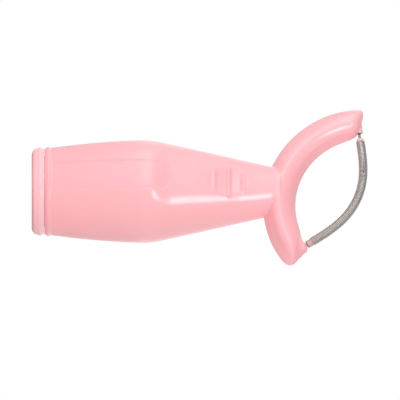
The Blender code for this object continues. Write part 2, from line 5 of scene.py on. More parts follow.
import bmesh
import bpy
import numpy as np
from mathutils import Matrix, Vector


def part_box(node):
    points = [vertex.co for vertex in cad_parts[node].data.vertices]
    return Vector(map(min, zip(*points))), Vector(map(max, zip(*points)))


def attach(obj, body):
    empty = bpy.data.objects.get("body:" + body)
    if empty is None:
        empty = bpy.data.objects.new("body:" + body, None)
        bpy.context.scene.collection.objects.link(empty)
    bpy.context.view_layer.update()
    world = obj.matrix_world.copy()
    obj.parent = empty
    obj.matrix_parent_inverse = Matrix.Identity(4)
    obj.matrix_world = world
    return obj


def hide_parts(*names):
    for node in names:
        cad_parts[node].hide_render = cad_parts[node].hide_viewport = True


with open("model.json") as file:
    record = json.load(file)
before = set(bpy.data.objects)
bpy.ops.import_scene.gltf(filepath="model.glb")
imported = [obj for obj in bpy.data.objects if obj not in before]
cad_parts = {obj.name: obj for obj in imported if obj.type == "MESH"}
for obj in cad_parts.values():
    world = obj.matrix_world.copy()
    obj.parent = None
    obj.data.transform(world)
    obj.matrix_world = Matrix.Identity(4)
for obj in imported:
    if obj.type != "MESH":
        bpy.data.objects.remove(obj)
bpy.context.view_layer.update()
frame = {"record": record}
joints = {joint["name"]: joint for joint in frame["record"]["behaviour"]["joints"]}
upper_end = Vector(joints["upper_spin"]["pos_m"])
lower_end = Vector(joints["lower_spin"]["pos_m"])
upper_way = -Vector(joints["upper_spin"]["axis"]).normalized()
lower_way = Vector(joints["lower_spin"]["axis"]).normalized()
chord = lower_end - upper_end
head_middle = (upper_end + lower_end) / 2
HEAD_SKEW = math.atan2(-chord.z, chord.x)

# Moulded body
# Grip, neck and yoke are two halves of injection moulded ABS, welded along the middle plane.
# The outside is polished, so it shows a soft gloss, with a fillet where the yoke meets the neck.
MM = 0.001
PARTING_GAP = 0.06 * MM
SKIN_GRID = 0.3 * MM
BLANK_SIDES = 64
BLANK_ROWS = 60
BLANK_RINGS = 64
BOSS_SIDES = 24
SHARP_ANGLE = math.radians(50)

grip_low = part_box("back_shell")[0]
GRIP_START = grip_low.z
REAR_RADIUS = 16.4 * MM
BELLY_RADIUS = 19.8 * MM
BELLY_HEIGHT = 45.2 * MM
BELLY_BLEND = 0.25 * MM
SWELL_POWER = 1.6
BEAD_START = GRIP_START + 0.3 * MM
BEAD_HEIGHT = 0.5 * MM
BEAD_LENGTH = 2.2 * MM
GRIP_WALL = 2.6 * MM
NECK_RADIUS = 9.6 * MM
NECK_HEIGHT = 92.0 * MM
NECK_WALL = 5.0 * MM
NECK_DEPTH_SHARE = 0.84
NECK_END = 95.0 * MM
HOLLOW_TOP = 77.0 * MM
BORE_MOUTH = 7.8 * MM
BORE_ROWS = 24
BORE_SIDES = 96
FLAT_START = 45.5 * MM
FLAT_FULL = 54.0 * MM
FLAT_FADE = 83.0 * MM
THINNING_START = 60.0 * MM
FLATNESS_SHARE = 0.6
CREASE_HEIGHTS = (46.0 * MM, 64.0 * MM, 79.0 * MM, 85.0 * MM, 92.0 * MM)
CREASE_OFFSETS = (11.3 * MM, 7.8 * MM, 5.5 * MM, 2.6 * MM, 0.6 * MM)
CREASE_ROUND_HEIGHTS = (45.0 * MM, 61.0 * MM, 75.0 * MM)
CREASE_ROUNDS = (0.5 * MM, 3.2 * MM, 1.5 * MM)
RECESS_DEPTH = 0.4 * MM
RECESS_HALF_WIDTH = 5.9 * MM
RECESS_START = 8.2 * MM
RECESS_END = 53.6 * MM
RECESS_CORNER = 0.8 * MM
RECESS_EDGE = 0.35 * MM
DISH_HEIGHT = 75.4 * MM
DISH_RADIUS = 7.8 * MM
DISH_DEPTH = 1.4 * MM
DISH_EDGE = 0.4 * MM
RIB_PITCH = 5.85 * MM
RIB_HALF_WIDTH = 1.5 * MM
RIB_LENGTHS = (9.4 * MM, 13.6 * MM, 9.4 * MM)
RIB_END = 1.2 * MM
RIB_DROP = 0.1 * MM
RIB_HEIGHT = 0.85 * MM
YOKE_SHIFT = 0.25 * MM
YOKE_TURN = math.radians(0.9)
YOKE_RADIUS = 33.9 * MM
YOKE_RISE = 13.1 * MM
YOKE_END_DROP = 3.35 * MM
YOKE_OUTER_REACH = 6.2 * MM
YOKE_INNER_REACH = 6.7 * MM
YOKE_RIDGE_DEPTH = 9.2 * MM
YOKE_RIDGE_OFFSET = 0.6 * MM
YOKE_RIDGE_BLENDS = (8.5 * MM, 4.5 * MM)
YOKE_LIP_DEPTH = 4.2 * MM
YOKE_LIP_OFFSET = 4.2 * MM
YOKE_LIP_BLEND = 0.15 * MM
YOKE_EDGE_EASE = 0.5 * MM
TIP_SHARE = 0.96
UPPER_END_TURN = math.radians(9)
TIP_LENGTH_ANGLE = math.radians(18)
TIP_BLENDS = {"upper": 3.5 * MM, "lower": 6.0 * MM}
LOWER_END_REACH = 1.0 * MM
JOIN_BLEND = 0.8 * MM
BOSS_START = 3.3 * MM
BOSS_LENGTH = 4.6 * MM
BOSS_RADIUS = 2.3 * MM
BOSS_ROUND = 1.4 * MM
BOSS_BLEND = 2.2 * MM
LEAST_SLOPE = 0.2
GRIP_PINK = "#FFB5BB"
GRIP_ROUGHNESS = 0.22
WAVE_LENGTH = MM / 0.35
WAVE_HEIGHT = 0.1 * MM
WAVE_STRENGTH = 0.04


def to_linear(hex_colour):
    """Linear colour with alpha, from an sRGB hex value."""
    channels = [int(hex_colour[place:place + 2], 16) / 255 for place in (1, 3, 5)]
    return [c / 12.92 if c <= 0.04045 else ((c + 0.055) / 1.055) ** 2.4 for c in channels] + [1.0]


def add_node(tree, kind, links=(), **settings):
    """One node with its settings, and links as (output socket, input name or index)."""
    node = tree.nodes.new(kind)
    for name, value in settings.items():
        if hasattr(node, name):
            setattr(node, name, value)
        else:
            node.inputs[name.replace("_", " ")].default_value = value
    for socket, target in links:
        tree.links.new(socket, node.inputs[target])
    return node


def smoothstep(share):
    share = np.clip(share, 0.0, 1.0)
    return share * share * (3 - 2 * share)


def smooth_union(first, second, blend):
    """Smaller of two distances, rounded where they are about equal, by a quarter of the blend."""
    share = np.clip(blend - np.abs(first - second), 0.0, None) / blend
    return np.minimum(first, second) - share * share * blend / 4


def smooth_cut(first, second, blend):
    """Larger of two distances, rounded over in the same way."""
    return -smooth_union(-first, -second, blend)


def bead(height, start):
    share = np.clip((height - start) / BEAD_LENGTH, 0.0, 1.0)
    return BEAD_HEIGHT * np.sin(math.pi * share)


def body_radius(height):
    """Slow swell to the belly, then a straight taper along the neck."""
    share = np.clip((height - GRIP_START) / (BELLY_HEIGHT - GRIP_START), 0.0, 1.0)
    swell = REAR_RADIUS + (BELLY_RADIUS - REAR_RADIUS) * (1 - (1 - share) ** SWELL_POWER)
    slope = (BELLY_RADIUS - NECK_RADIUS) / (NECK_HEIGHT - BELLY_HEIGHT)
    taper = BELLY_RADIUS - slope * (height - BELLY_HEIGHT)
    return smooth_union(swell, taper, 4 * BELLY_BLEND)


def recess_mask(x, z):
    """1 inside the outline of the long recess and 0 outside it, with a short ramp between."""
    round_end = RECESS_END - RECESS_HALF_WIDTH
    side = np.abs(x) - RECESS_HALF_WIDTH
    rear = RECESS_START - z
    corner = np.hypot(np.clip(side + RECESS_CORNER, 0, None), np.clip(rear + RECESS_CORNER, 0, None))
    inner = np.minimum(np.maximum(side, rear) + RECESS_CORNER, 0)
    square = corner + inner - RECESS_CORNER
    tip = np.hypot(x, z - round_end) - RECESS_HALF_WIDTH
    outline = np.where(z > round_end, tip, square)
    return 1 - smoothstep(outline / RECESS_EDGE + 0.5)


def neck_depth(height):
    """Depth of the neck as a share of its width, front to back."""
    return 1 - (1 - NECK_DEPTH_SHARE) * smoothstep((height - THINNING_START) / (NECK_HEIGHT - THINNING_START))


def crease_edge(height, radius):
    """How far forward a crease lies, as a share of the radius."""
    return np.sqrt(1 - (np.interp(height, CREASE_HEIGHTS, CREASE_OFFSETS) / radius) ** 2)


def grip_field(x, y, z):
    """Signed distance to grip and neck, with a flatter front that folds off at two creases."""
    radius = body_radius(np.clip(z, GRIP_START, NECK_END))
    depth = neck_depth(z)
    edge = crease_edge(z, radius)
    flat = smoothstep((z - FLAT_START) / (FLAT_FULL - FLAT_START))
    flat = flat * (1 - smoothstep((z - FLAT_FADE) / (NECK_HEIGHT - FLAT_FADE)))
    reach = -y / (radius * depth)
    side = np.hypot(x, reach * radius) - radius - bead(z, BEAD_START)
    round_front = np.sqrt(np.clip(1 - (x / radius) ** 2, 0.0, None))
    flat_front = edge + (round_front - edge) * (1 - FLATNESS_SHARE * flat)
    front = np.where(flat > 0, (reach - flat_front) * radius * depth, -radius)
    fold = np.interp(z, CREASE_ROUND_HEIGHTS, CREASE_ROUNDS)
    radial = smooth_cut(side, front, fold * flat + 1e-6)
    radial = radial + RECESS_DEPTH * recess_mask(x, z) * (y < 0)
    ends = np.maximum(GRIP_START - z, z - NECK_END)
    return np.maximum(radial, ends)


def flattened_front(height):
    """Distance from the axis to the middle of the flattened front."""
    radius = body_radius(height)
    edge = crease_edge(height, radius)
    return float(radius * neck_depth(height) * (edge + (1 - edge) * (1 - FLATNESS_SHARE)))


def thumb_field(x, y, z, skin):
    """The thumb dish cut into the neck, and the ribs that stand in it."""
    slope = math.atan2(BELLY_RADIUS - NECK_RADIUS, NECK_HEIGHT - BELLY_HEIGHT)
    out_y, out_z = -math.cos(slope), math.sin(slope)
    from_y = y + flattened_front(DISH_HEIGHT)
    from_z = z - DISH_HEIGHT
    up = from_y * out_y + from_z * out_z
    along = from_z * math.cos(slope) + from_y * math.sin(slope)
    ball = (DISH_RADIUS ** 2 + DISH_DEPTH ** 2) / (2 * DISH_DEPTH)
    dish = ball - np.sqrt(x ** 2 + along ** 2 + (up - ball + DISH_DEPTH) ** 2)
    skin = smooth_cut(skin, dish, DISH_EDGE)
    below = DISH_DEPTH * (1 - (x ** 2 + along ** 2) / DISH_RADIUS ** 2) - RIB_DROP
    for index, length in enumerate(RIB_LENGTHS):
        across = np.abs(along - (index - 1) * RIB_PITCH)
        ridge = smoothstep(1 - across / RIB_HALF_WIDTH) * smoothstep((length / 2 - np.abs(x)) / RIB_END)
        skin = skin - ridge * np.clip(below, 0.0, RIB_HEIGHT) * (y < 0)
    return skin


def section_corners():
    """Half of the yoke's section, from outside to inside, as (out from the arc, depth)."""
    return [
        (YOKE_OUTER_REACH, 0.0),
        (YOKE_RIDGE_OFFSET, YOKE_RIDGE_DEPTH),
        (-YOKE_LIP_OFFSET, YOKE_LIP_DEPTH),
        (-YOKE_INNER_REACH, 0.0),
    ]


def yoke_field(x, y, z):
    """Signed distance to the yoke: a ridged arc, softer on the upper arm, cut off at both tips."""
    from_x = x - head_middle.x
    from_z = z - head_middle.z
    u = from_x * math.cos(HEAD_SKEW) - from_z * math.sin(HEAD_SKEW) - YOKE_SHIFT
    v = from_x * math.sin(HEAD_SKEW) + from_z * math.cos(HEAD_SKEW) - YOKE_RISE
    along = u * math.cos(YOKE_TURN) + v * math.sin(YOKE_TURN)
    height = v * math.cos(YOKE_TURN) - u * math.sin(YOKE_TURN)
    out = np.hypot(along, height) - YOKE_RADIUS
    angle = np.abs(np.arctan2(along, -height))
    end = math.acos((YOKE_RISE + YOKE_END_DROP) / YOKE_RADIUS)
    near = smoothstep((angle - end + TIP_LENGTH_ANGLE) / TIP_LENGTH_ANGLE)
    share = 1 - (1 - TIP_SHARE) * near
    out = out / share
    side = np.hypot(y / share, YOKE_EDGE_EASE)
    corners = section_corners()
    faces = []
    for (out_a, side_a), (out_b, side_b) in zip(corners, corners[1:]):
        length = math.hypot(out_b - out_a, side_b - side_a)
        normal = ((side_b - side_a) / length, -(out_b - out_a) / length)
        faces.append((out - out_a) * normal[0] + (side - side_a) * normal[1])
    outside, inside, lip = faces
    lower_share = smoothstep(0.5 + along / YOKE_RADIUS)
    ridge_blend = YOKE_RIDGE_BLENDS[0] + (YOKE_RIDGE_BLENDS[1] - YOKE_RIDGE_BLENDS[0]) * lower_share
    skin = smooth_cut(smooth_cut(outside, inside, ridge_blend), lip, YOKE_LIP_BLEND) * share
    level = height + YOKE_RISE + YOKE_END_DROP
    corner = -math.sqrt((YOKE_RADIUS + YOKE_OUTER_REACH) ** 2 - (YOKE_RISE + YOKE_END_DROP) ** 2)
    turned_level = level * math.cos(UPPER_END_TURN) - (along - corner) * math.sin(UPPER_END_TURN)
    upper = smooth_cut(skin, turned_level, TIP_BLENDS["upper"])
    return np.where(along < 0, upper, smooth_cut(skin, level - LOWER_END_REACH, TIP_BLENDS["lower"]))


def boss_field(points):
    """Signed distance to the round boss on the lower tip, along the line of its pin."""
    offset = points - np.array(lower_end)
    along = offset @ np.array(lower_way)
    radial = np.sqrt(np.clip((offset ** 2).sum(axis=1) - along ** 2, 0.0, None))
    ends = np.abs(along - BOSS_START - BOSS_LENGTH / 2) - BOSS_LENGTH / 2
    return smooth_cut(radial - BOSS_RADIUS, ends, BOSS_ROUND)


def plain_field(points):
    x, y, z = points[:, 0], points[:, 1], points[:, 2]
    head = smooth_union(yoke_field(x, y, z), boss_field(points), BOSS_BLEND)
    return smooth_union(grip_field(x, y, z), head, JOIN_BLEND)


def body_field(points):
    x, y, z = points[:, 0], points[:, 1], points[:, 2]
    head = smooth_union(yoke_field(x, y, z), boss_field(points), BOSS_BLEND)
    return smooth_union(thumb_field(x, y, z, grip_field(x, y, z)), head, JOIN_BLEND)


def pull_to_skin(points, field, rounds=6, step=0.02 * MM):
    """Move points along the field's slope until they lie where it is zero."""
    for _ in range(rounds):
        here = field(points)
        slope = np.empty_like(points)
        for axis in range(3):
            nudge = np.zeros(3)
            nudge[axis] = step
            slope[:, axis] = (field(points + nudge) - field(points - nudge)) / (2 * step)
        size = np.clip((slope ** 2).sum(axis=1), LEAST_SLOPE, None)
        move = slope * (here / size)[:, None]
        length = np.linalg.norm(move, axis=1)
        limit = np.clip(SKIN_GRID / np.clip(length, 1e-12, None), None, 1.0)
        points = points - move * limit[:, None]
    return points


def new_object(name, mesh):
    item = bpy.data.objects.new(name, mesh)
    bpy.context.scene.collection.objects.link(item)
    return item


def mesh_from(name, bm):
    mesh = bpy.data.meshes.new(name)
    bm.to_mesh(mesh)
    bm.free()
    return new_object(name, mesh)


def applied(item):
    """The object with its modifiers worked into its mesh."""
    graph = bpy.context.evaluated_depsgraph_get()
    mesh = bpy.data.meshes.new_from_object(item.evaluated_get(graph), depsgraph=graph)
    item.modifiers.clear()
    item.data = mesh
    return item


def rough_body():
    """Rough blank of the whole body: rounds up the neck, blocks along the yoke, and the boss."""
    bm = bmesh.new()
    rows = []
    for height in np.linspace(GRIP_START, NECK_END, BLANK_ROWS):
        radius = float(body_radius(height))
        turns = [2 * math.pi * side / BLANK_SIDES for side in range(BLANK_SIDES)]
        rows.append([bm.verts.new((radius * math.cos(t), radius * math.sin(t), height)) for t in turns])
    for low, high in zip(rows, rows[1:]):
        for side in range(BLANK_SIDES):
            after = (side + 1) % BLANK_SIDES
            bm.faces.new((low[side], low[after], high[after], high[side]))
    bm.faces.new(list(reversed(rows[0])))
    bm.faces.new(rows[-1])
    end = math.acos((YOKE_RISE + YOKE_END_DROP) / YOKE_RADIUS)
    rings = []
    half = section_corners()
    outline = half + [(out, -side) for out, side in reversed(half[1:-1])]
    for angle in np.linspace(-end, end, BLANK_RINGS):
        ring = []
        for out, side in outline:
            reach = YOKE_RADIUS + out
            u = YOKE_SHIFT + reach * math.sin(angle + YOKE_TURN)
            v = min(YOKE_RISE - reach * math.cos(angle + YOKE_TURN), -YOKE_END_DROP)
            x = head_middle.x + u * math.cos(HEAD_SKEW) + v * math.sin(HEAD_SKEW)
            z = head_middle.z - u * math.sin(HEAD_SKEW) + v * math.cos(HEAD_SKEW)
            ring.append(bm.verts.new((x, side, z)))
        rings.append(ring)
    for low, high in zip(rings, rings[1:]):
        for side in range(len(outline)):
            after = (side + 1) % len(outline)
            bm.faces.new((low[side], low[after], high[after], high[side]))
    bm.faces.new(rings[0])
    bm.faces.new(rings[-1])
    place = lower_way.to_track_quat("Z", "Y").to_matrix().to_4x4()
    place.translation = lower_end + lower_way * (BOSS_START + BOSS_LENGTH / 2)
    bmesh.ops.create_cone(
        bm, cap_ends=True, segments=BOSS_SIDES, radius1=BOSS_RADIUS, radius2=BOSS_RADIUS,
        depth=BOSS_LENGTH, matrix=place)
    bmesh.ops.recalc_face_normals(bm, faces=bm.faces)
    return mesh_from("rough_body", bm)


def moulded_body():
    """The blank pulled onto the true surface on finer and finer even grids of faces."""
    item = rough_body()
    rounds = ((3, plain_field), (1.5, plain_field), (1, body_field), (1, body_field))
    for coarseness, field in rounds:
        remesh = item.modifiers.new("even_grid", "REMESH")
        remesh.mode = "VOXEL"
        remesh.voxel_size = coarseness * SKIN_GRID
        applied(item)
        points = np.empty(len(item.data.vertices) * 3)
        item.data.vertices.foreach_get("co", points)
        points = pull_to_skin(points.reshape(-1, 3), field)
        item.data.vertices.foreach_set("co", points.ravel())
    return item


def bore_profile():
    """The grip's hollow, from its top down to the open rear, as (radius, height)."""
    profile = [(0.0, HOLLOW_TOP)]
    for height in np.linspace(HOLLOW_TOP, GRIP_START + BORE_MOUTH, BORE_ROWS):
        above = smoothstep((height - BELLY_HEIGHT) / (HOLLOW_TOP - BELLY_HEIGHT))
        wall = GRIP_WALL + (NECK_WALL - GRIP_WALL) * above
        profile.append((float(body_radius(height) - wall), float(height)))
    rear = REAR_RADIUS - GRIP_WALL
    profile += [(rear, profile[-1][1]), (rear, GRIP_START - MM), (0.0, GRIP_START - MM)]
    return profile


def turned(name, profile, steps):
    """Spin a (radius, height) profile, given from top to bottom, round the Z axis."""
    bm = bmesh.new()
    rings = []
    for radius, height in profile:
        if radius < 1e-7:
            rings.append([bm.verts.new((0, 0, height))])
            continue
        turns = [2 * math.pi * step / steps for step in range(steps)]
        rings.append([bm.verts.new((radius * math.cos(t), radius * math.sin(t), height)) for t in turns])
    for high, low in zip(rings, rings[1:]):
        for step in range(steps):
            after = (step + 1) % steps
            corners = [high[step % len(high)], low[step % len(low)]]
            corners += [low[after % len(low)], high[after % len(high)]]
            face = list(dict.fromkeys(corners))
            if len(face) > 2:
                bm.faces.new(face)
    bmesh.ops.recalc_face_normals(bm, faces=bm.faces)
    return mesh_from(name, bm)


def moulded_half(whole, side, name, bore):
    """One half of the body, cut at the parting plane and hollowed."""
    bm = bmesh.new()
    bm.from_mesh(whole.data)
    normal = Vector((0, side, 0))
    geom = bm.verts[:] + bm.edges[:] + bm.faces[:]
    point = normal * (PARTING_GAP / 2)
    cut = bmesh.ops.bisect_plane(bm, geom=geom, plane_co=point, plane_no=normal, clear_inner=True)
    rim = [part for part in cut["geom_cut"] if isinstance(part, bmesh.types.BMEdge)]
    bmesh.ops.holes_fill(bm, edges=rim, sides=0)
    bmesh.ops.recalc_face_normals(bm, faces=bm.faces)
    half = mesh_from(name, bm)
    hollow = half.modifiers.new("bore", "BOOLEAN")
    hollow.operation = "DIFFERENCE"
    hollow.solver = "EXACT"
    hollow.object = bore
    applied(half)
    half.data.shade_smooth()
    half.data.set_sharp_from_angle(angle=SHARP_ANGLE)
    return half


def moulded_plastic(name, hex_colour, roughness):
    """Polished moulded plastic: even colour, soft gloss and a faint waviness from cooling."""
    material = bpy.data.materials.new(name)
    material.use_nodes = True
    tree = material.node_tree
    shader = tree.nodes["Principled BSDF"]
    shader.inputs["Base Color"].default_value = to_linear(hex_colour)
    shader.inputs["Roughness"].default_value = roughness
    shader.inputs["IOR"].default_value = 1.53
    place = add_node(tree, "ShaderNodeTexCoord")
    waves = add_node(tree, "ShaderNodeTexNoise", [(place.outputs["Object"], "Vector")],
                     Scale=1 / WAVE_LENGTH, Detail=3.0)
    bump = add_node(tree, "ShaderNodeBump", [(waves.outputs["Fac"], "Height")],
                    Strength=WAVE_STRENGTH, Distance=WAVE_HEIGHT)
    tree.links.new(bump.outputs["Normal"], shader.inputs["Normal"])
    return material


body_plastic = moulded_plastic("moulded_pink_abs", GRIP_PINK, GRIP_ROUGHNESS)
whole_body = moulded_body()
bore = turned("grip_bore", bore_profile(), BORE_SIDES)
for side, node in ((-1, "front_shell"), (1, "back_shell")):
    half = moulded_half(whole_body, side, "moulded_" + node, bore)
    half.data.materials.clear()
    half.data.materials.append(body_plastic)
    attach(half, "handle")
    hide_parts(node)
bpy.data.objects.remove(whole_body)
bpy.data.objects.remove(bore)

# Rear cap
# The rear end is its own moulding, in the body's pink painted a shade paler as painted light: a cup with a
# bead and a rounded edge.
# Its spigot pushes into the bore, so a fine line shows in the groove where it meets the grip.
CAP_SEAM = 0.08 * MM
CAP_EDGE_WIDTH = 2.6 * MM
CAP_EDGE_HEIGHT = 1.8 * MM
CAP_BEAD_END = 4.3 * MM
CAP_FLOOR = 2.0 * MM
CAP_WALL = 1.6 * MM
SPIGOT_GAP = 0.3 * MM
SPIGOT_LENGTH = 7.5 * MM
# The cap's pink is the body's pink painted paler, as painted light on the rear end.
CAP_PAINTED_LIGHT_PINK = "#FFC7CC"
CAP_ROUGHNESS = 0.24
CAP_BEAD_ROWS = 15
CAP_EDGE_ROWS = 10
CAP_SIDES = 192
CAP_SHARP_ANGLE = math.radians(40)


def cap_profile():
    """Floor and spigot inside, then groove, bead, rounded edge and rear face outside."""
    spigot = REAR_RADIUS - GRIP_WALL - SPIGOT_GAP
    top = GRIP_START + SPIGOT_LENGTH
    seam = GRIP_START - CAP_SEAM
    profile = [(0.0, CAP_FLOOR), (spigot - CAP_WALL, CAP_FLOOR), (spigot - CAP_WALL, top)]
    profile += [(spigot, top), (spigot, seam), (REAR_RADIUS, seam)]
    start = CAP_BEAD_END - BEAD_LENGTH
    for share in np.linspace(1.0, 0.0, CAP_BEAD_ROWS):
        height = start + BEAD_LENGTH * share
        profile.append((REAR_RADIUS + float(bead(height, start)), height))
    for angle in np.linspace(0.0, math.pi / 2, CAP_EDGE_ROWS)[1:]:
        radius = REAR_RADIUS - CAP_EDGE_WIDTH * (1 - math.cos(angle))
        profile.append((radius, CAP_EDGE_HEIGHT * (1 - math.sin(angle))))
    return profile + [(0.0, 0.0)]


cap = turned("moulded_rear_cap", cap_profile(), CAP_SIDES)
cap.data.shade_smooth()
cap.data.set_sharp_from_angle(angle=CAP_SHARP_ANGLE)
cap.data.materials.append(moulded_plastic("moulded_pale_pink_abs", CAP_PAINTED_LIGHT_PINK, CAP_ROUGHNESS))
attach(cap, "rear_closure")
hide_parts("rear_cap")

# Bushes
# A bush of pale acetal sits in each tip and stands out of it as a short nose.
# It is turned from rod, a little translucent, with a broken edge round its mouth.
PIN_RADIUS = 0.45 * MM
BUSH_RADIUS = 1.5 * MM
BUSH_EDGE = 0.25 * MM
BUSH_FACES = {"upper": 3.6 * MM, "lower": 3.0 * MM}
BUSH_LENGTH = 7.0 * MM
BUSH_BORE_DEPTH = 5.0 * MM
PIN_PLAY = 0.1 * MM
BUSH_SIDES = 48
BUSH_EDGE_ROWS = 5
WIDEST_PART = 0.75
BUSH_PINK = "#E9B9BD"
PALE_ROUGHNESS = 0.4
SCATTER_SHARE = 0.3
SCATTER_REACH = (0.8 * MM, 0.5 * MM, 0.5 * MM)
ENDS = {"upper": (upper_end, upper_way), "lower": (lower_end, lower_way)}


def set_on_end(item, name):
    """Move a turned mesh from the Z axis onto one end of the spring, pointing outwards."""
    origin, way = ENDS[name]
    turn = way.to_track_quat("Z", "Y").to_matrix().to_4x4()
    turn.translation = origin
    item.data.transform(turn)
    return item


def small_turning(name, end, profile, material, steps=BUSH_SIDES, teeth=0, tooth_depth=0.0):
    """One small turned or moulded piece on an end of the spring; teeth notch its widest part."""
    item = turned(name, profile, steps)
    if teeth:
        widest = max(radius for radius, _ in profile)
        for vertex in item.data.vertices:
            radius = math.hypot(vertex.co.x, vertex.co.y)
            if radius > widest * WIDEST_PART:
                wave = 0.5 - 0.5 * math.cos(teeth * math.atan2(vertex.co.y, vertex.co.x))
                shrink = 1 - tooth_depth / radius * wave ** 2
                vertex.co.x *= shrink
                vertex.co.y *= shrink
    set_on_end(item, end)
    item.data.shade_smooth()
    item.data.set_sharp_from_angle(angle=SHARP_ANGLE)
    item.data.materials.append(material)
    return item


def bush_profile(face):
    top = face + BUSH_LENGTH
    bore = PIN_RADIUS + PIN_PLAY
    profile = [(0.0, top), (BUSH_RADIUS, top)]
    for angle in np.linspace(0.0, math.pi / 2, BUSH_EDGE_ROWS):
        radius = BUSH_RADIUS - BUSH_EDGE * (1 - math.cos(angle))
        profile.append((radius, face + BUSH_EDGE * (1 - math.sin(angle))))
    profile += [(bore + BUSH_EDGE, face), (bore, face + BUSH_EDGE)]
    return profile + [(bore, face + BUSH_BORE_DEPTH), (0.0, face + BUSH_BORE_DEPTH)]


def pale_plastic(name, hex_colour):
    """Unpainted engineering plastic: waxy, with light scattering a little way in."""
    material = moulded_plastic(name, hex_colour, PALE_ROUGHNESS)
    shader = material.node_tree.nodes["Principled BSDF"]
    shader.inputs["Subsurface Weight"].default_value = SCATTER_SHARE
    shader.inputs["Subsurface Radius"].default_value = SCATTER_REACH
    shader.inputs["Subsurface Scale"].default_value = 1.0
    return material


acetal = pale_plastic("turned_pale_acetal", BUSH_PINK)
for end, face in BUSH_FACES.items():
    bush = small_turning("turned_%s_bush" % end, end, bush_profile(face), acetal)
    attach(bush, "handle")
    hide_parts(end + "_bush")

# Pivot pins and end plugs
# Each plug is moulded nylon, pushed into the spring's end, and grips a drawn steel pin.
# The upper plug's collar flares and is notched; the lower one is plain and longer, its nylon painted darker
# as painted shade.
PIN_SEAT = 1.0 * MM
PIN_DOME = 0.15 * MM
PLUG_GAP = 0.05 * MM
SPIGOT_RADIUS = 0.85 * MM
PLUG_SPIGOT = 3.0 * MM
PLUG_EDGE = 0.15 * MM
COLLARS = {
    "upper": (1.5 * MM, 1.75 * MM, 0.65, 10, "#D9BDC0"),
    # The lower plug's darker colour is painted shade; both plugs are the same nylon.
    "lower": (2.4 * MM, 1.45 * MM, 1.0, 0, "#C59DA3"),
}
TOOTH_DEPTH = 0.3 * MM
PLUG_SIDES = 80
ROUGHNESS_SPREAD = 0.06
PIN_END_PLAY = 0.3 * MM
PLUG_EDGE_ROWS = 4
PIN_DOME_ROWS = 5
PIN_GREY = "#8C8A8C"
PIN_ROUGHNESS = 0.25
PIN_PATCH = MM / 0.9


def plug_profile(length, radius, mouth_share):
    """Pin seat, rounded mouth, a collar that widens to its full radius, then the spigot."""
    mouth = radius * mouth_share
    seat = PIN_RADIUS + PLUG_GAP
    profile = [(0.0, length - PIN_SEAT), (seat, length - PIN_SEAT), (seat, length)]
    for angle in np.linspace(math.pi / 2, 0.0, PLUG_EDGE_ROWS):
        edge = mouth - PLUG_EDGE * (1 - math.cos(angle))
        profile.append((edge, length - PLUG_EDGE * (1 - math.sin(angle))))
    for share in (0.25, 0.5, 0.75, 1.0):
        height = length - PLUG_EDGE - (length - 2 * PLUG_EDGE - PLUG_GAP) * share
        profile.append((mouth + (radius - mouth) * share, height))
    profile += [(radius - PLUG_EDGE, PLUG_GAP), (SPIGOT_RADIUS, PLUG_GAP)]
    return profile + [(SPIGOT_RADIUS, -PLUG_SPIGOT), (0.0, -PLUG_SPIGOT)]


def pin_profile(bottom, top):
    profile = [(0.0, top)]
    for angle in np.linspace(0.0, math.pi / 2, PIN_DOME_ROWS)[1:]:
        profile.append((PIN_RADIUS * math.sin(angle), top - PIN_DOME * (1 - math.cos(angle))))
    return profile + [(PIN_RADIUS, bottom), (0.0, bottom)]


def drawn_steel(name, hex_colour, roughness, patch_length):
    """Drawn steel with a satin gloss, in fine patches that are a little smoother or rougher."""
    material = bpy.data.materials.new(name)
    material.use_nodes = True
    tree = material.node_tree
    shader = tree.nodes["Principled BSDF"]
    shader.inputs["Metallic"].default_value = 1.0
    shader.inputs["Base Color"].default_value = to_linear(hex_colour)
    place = add_node(tree, "ShaderNodeTexCoord")
    patches = add_node(tree, "ShaderNodeTexNoise", [(place.outputs["Object"], "Vector")],
                       Scale=1 / patch_length, Detail=2.0)
    spread = add_node(tree, "ShaderNodeMapRange", [(patches.outputs["Fac"], "Value")])
    spread.inputs["To Min"].default_value = roughness - ROUGHNESS_SPREAD
    spread.inputs["To Max"].default_value = roughness + ROUGHNESS_SPREAD
    tree.links.new(spread.outputs["Result"], shader.inputs["Roughness"])
    return material


pin_steel = drawn_steel("drawn_pin_steel", PIN_GREY, PIN_ROUGHNESS, PIN_PATCH)
for end, (length, radius, mouth_share, teeth, colour) in COLLARS.items():
    nylon = pale_plastic("moulded_%s_plug_nylon" % end, colour)
    profile = plug_profile(length, radius, mouth_share)
    plug = small_turning("moulded_%s_end_plug" % end, end, profile, nylon, PLUG_SIDES, teeth, TOOTH_DEPTH)
    top = BUSH_FACES[end] + BUSH_BORE_DEPTH - PIN_END_PLAY
    pin = small_turning("drawn_%s_pivot_pin" % end, end, pin_profile(length - PIN_SEAT, top), pin_steel)
    for item, node, slot in ((plug, "_end_plug", "_plug_nylon"), (pin, "_pivot_pin", "_pin_steel")):
        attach(item, end + "_end")
        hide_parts(end + node)

# Spring
# Close wound spring steel wire of 0.5 mm, bowed like a strut between the two pins.
# Its curls nearly touch inside the bow and open a little outside it, which traps the hair.
WIRE_RADIUS = 0.25 * MM
COIL_RADIUS = 1.45 * MM
COIL_PITCH = 0.53 * MM
CURL_STEPS = 20
WIRE_SIDES = 8
BOW_STEPS = 300
SPRING_GREY = "#CBC6C2"
SPRING_ROUGHNESS = 0.42
SPRING_PATCH = MM / 1.2


